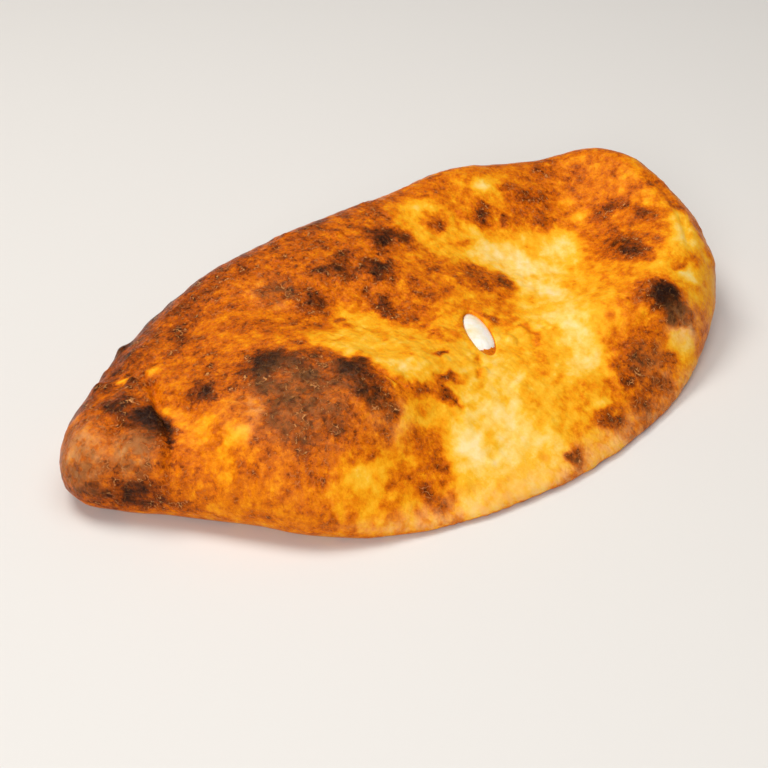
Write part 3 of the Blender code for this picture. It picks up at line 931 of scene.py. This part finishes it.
def meltedCheese():
    # mozzarella and ricotta, melted and set: off-white, wet and slightly translucent
    mat, tree, place = newMaterial("melted white cheese")
    cloud = addNode(tree, "ShaderNodeTexNoise", links={"Vector": place},
                    values={"Scale": 1 / (5 * mm), "Detail": 3.0})
    ramp = addNode(tree, "ShaderNodeValToRGB", links={"Fac": cloud.outputs["Fac"]})
    ramp.color_ramp.elements[0].position = 0.3
    ramp.color_ramp.elements[0].color = linearColour("f3dfae")
    ramp.color_ramp.elements[1].position = 0.6
    ramp.color_ramp.elements[1].color = linearColour("fffaf0")
    lumps = addNode(tree, "ShaderNodeTexNoise", links={"Vector": place},
                    values={"Scale": 1 / (2 * mm), "Detail": 2.0})
    bump = addNode(tree, "ShaderNodeBump", links={"Height": lumps.outputs["Fac"]},
                   values={"Distance": 0.3 * mm, "Strength": 0.3})
    shader = addNode(tree, "ShaderNodeBsdfPrincipled",
                     links={"Base Color": ramp.outputs["Color"], "Normal": bump.outputs["Normal"]},
                     values={"Roughness": 0.22, "IOR": 1.45, "Subsurface Weight": 0.3,
                             "Subsurface Radius": (0.004, 0.003, 0.002),
                             "Subsurface Scale": 1.0})
    addNode(tree, "ShaderNodeOutputMaterial", links={"Surface": shader.outputs["BSDF"]})
    return mat


bmesh.ops.recalc_face_normals(cheeseBody, faces=cheeseBody.faces[:])
cheese = finishMesh(cheeseBody, "meltedCheese", meltedCheese(), {})
cheeseBody.free()
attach(cheese, "root")
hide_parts("cheese_filling")
print("cheese done")


def paintedFloor():
    # a plain matt floor in pale grey paint
    mat = bpy.data.materials.new("matt pale paint")
    mat.use_nodes = True
    shader = mat.node_tree.nodes["Principled BSDF"]
    shader.inputs["Base Color"].default_value = linearColour("e4e3e1")
    shader.inputs["Roughness"].default_value = 0.85
    return mat


floorMesh = bmesh.new()
bmesh.ops.create_grid(floorMesh, x_segments=1, y_segments=1, size=3.0)
floor = finishMesh(floorMesh, "floor", paintedFloor(), {})

lightSettings = {
    "world": (0.18, "ffffff"),    # strength, colour
    "target": (0, 0, 0.02),       # the lamps point here (m)
    # name, azimuth, elevation (degrees), distance, size (m), power (W), colour
    "panels": (("key", -150.0, 66.0, 1.2, 0.6, 7.8, "fff8f0"),
               ("top", 40.0, 80.0, 1.4, 1.0, 5.0, "fffaf5"),
               ("fill", -50.0, 30.0, 1.5, 0.6, 11.0, "fffdfa")),
}


def aim(ob, target):
    ob.rotation_euler = (Vector(target) - ob.location).to_track_quat("-Z", "Y").to_euler()


def onSphere(azimuth, elevation, distance, centre=(0, 0, 0)):
    a, e = math.radians(azimuth), math.radians(elevation)
    return Vector(centre) + distance * Vector((math.sin(a) * math.cos(e),
                                               -math.cos(a) * math.cos(e), math.sin(e)))


for name, azimuth, elevation, distance, size, power, colour in lightSettings["panels"]:
    lamp = bpy.data.lights.new(name, "AREA")
    lamp.shape, lamp.size = "DISK", size
    lamp.energy = power
    lamp.color = linearColour(colour)[:3]
    ob = bpy.data.objects.new(name, lamp)
    bpy.context.scene.collection.objects.link(ob)
    ob.location = onSphere(azimuth, elevation, distance)
    aim(ob, lightSettings["target"])

world = bpy.data.worlds.new("studio")
world.use_nodes = True
backdrop = world.node_tree.nodes["Background"]
backdrop.inputs["Strength"].default_value = lightSettings["world"][0]
backdrop.inputs["Color"].default_value = linearColour(lightSettings["world"][1])
bpy.context.scene.world = world
bpy.context.scene.view_settings.view_transform = "Standard"

cameraSettings = {"target": (-0.012, 0.010, 0.0), "azimuth": -39.0, "elevation": 32.0,
                  "distance": 0.651, "lens": 84.4}
cameraData = bpy.data.cameras.new("camera")
cameraData.lens = cameraSettings["lens"]
cameraData.sensor_width = 36.0
camera = bpy.data.objects.new("camera", cameraData)
bpy.context.scene.collection.objects.link(camera)
camera.location = onSphere(cameraSettings["azimuth"], cameraSettings["elevation"],
                           cameraSettings["distance"], cameraSettings["target"])
aim(camera, cameraSettings["target"])
bpy.context.scene.camera = camera
